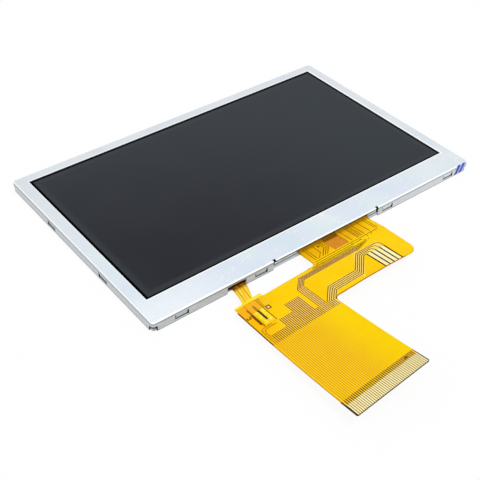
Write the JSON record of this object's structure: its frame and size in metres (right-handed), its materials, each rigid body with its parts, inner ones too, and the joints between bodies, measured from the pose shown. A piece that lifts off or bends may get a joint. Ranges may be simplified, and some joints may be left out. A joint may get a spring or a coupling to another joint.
{
  "type": "tft display module",
  "caption": "Flat colour TFT panel and edge-lit backlight in a folded steel case, with an L-shaped flexible circuit ending in a contact tail.",
  "frame": {"origin": "centre of the rear cover's flat rear face", "axes": "+X along the screen's long side, +Y across the screen away from the flexible circuits, +Z out of the screen"},
  "size_m": [0.1054, 0.1141, 0.0067],
  "materials": {
    "bezel_steel": "bright fine satin sheet",
    "cover_steel": "satin sheet",
    "frame_white": "moulded white, fine satin",
    "polarizer_dark": "anti-glare, faint sheen",
    "filter_glass_black": "polished, black mask",
    "array_glass_clear": "polished",
    "polarizer_rear": "smooth",
    "chip_dark": "ground silicon",
    "tape_black": "matt film",
    "sheet_clear": "clear film",
    "diffuser_white": "milky",
    "guide_clear": "clear, polished",
    "reflector_white": "bright white film",
    "lamp_white": "moulded white",
    "phosphor_yellow": "cast resin",
    "film_amber": "polyimide film",
    "cover_film_yellow": "polyimide cover film",
    "copper": "etched foil",
    "contact_gold": "bright plated",
    "stiffener_cream": "laminated film",
    "solder_bright": "bright tinned",
    "patch_yellow": "thin adhesive film"
  },
  "bodies": {
    "root": {"front_bezel": "bezel_steel", "rear_cover": "cover_steel", "mould_frame": "frame_white", "front_polarizer": "polarizer_dark", "color_filter_glass": "filter_glass_black", "array_glass": "array_glass_clear", "rear_polarizer": "polarizer_rear", "driver_chip": "chip_dark", "rim_tape": "tape_black", "prism_sheet_upper": "sheet_clear", "prism_sheet_lower": "sheet_clear", "diffuser_sheet": "diffuser_white", "light_guide": "guide_clear", "reflector_sheet": "reflector_white", "lamp_flex": "film_amber", "lamp_flex_tracks": "copper", "lamp_windows": "phosphor_yellow", "lamp_1": "lamp_white", "lamp_2": "lamp_white", "lamp_3": "lamp_white", "lamp_4": "lamp_white", "lamp_5": "lamp_white", "lamp_6": "lamp_white", "lamp_7": "lamp_white", "lamp_8": "lamp_white", "main_flex_base": "film_amber", "main_flex_tracks": "copper", "main_flex_ground": "copper", "main_flex_coverlay": "cover_film_yellow", "main_flex_rear_coverlay": "cover_film_yellow", "contact_fingers": "contact_gold", "touch_pads": "contact_gold", "tail_stiffener": "stiffener_cream", "lamp_solder": "solder_bright", "joint_tape": "patch_yellow"}
  },
  "joints": []
}
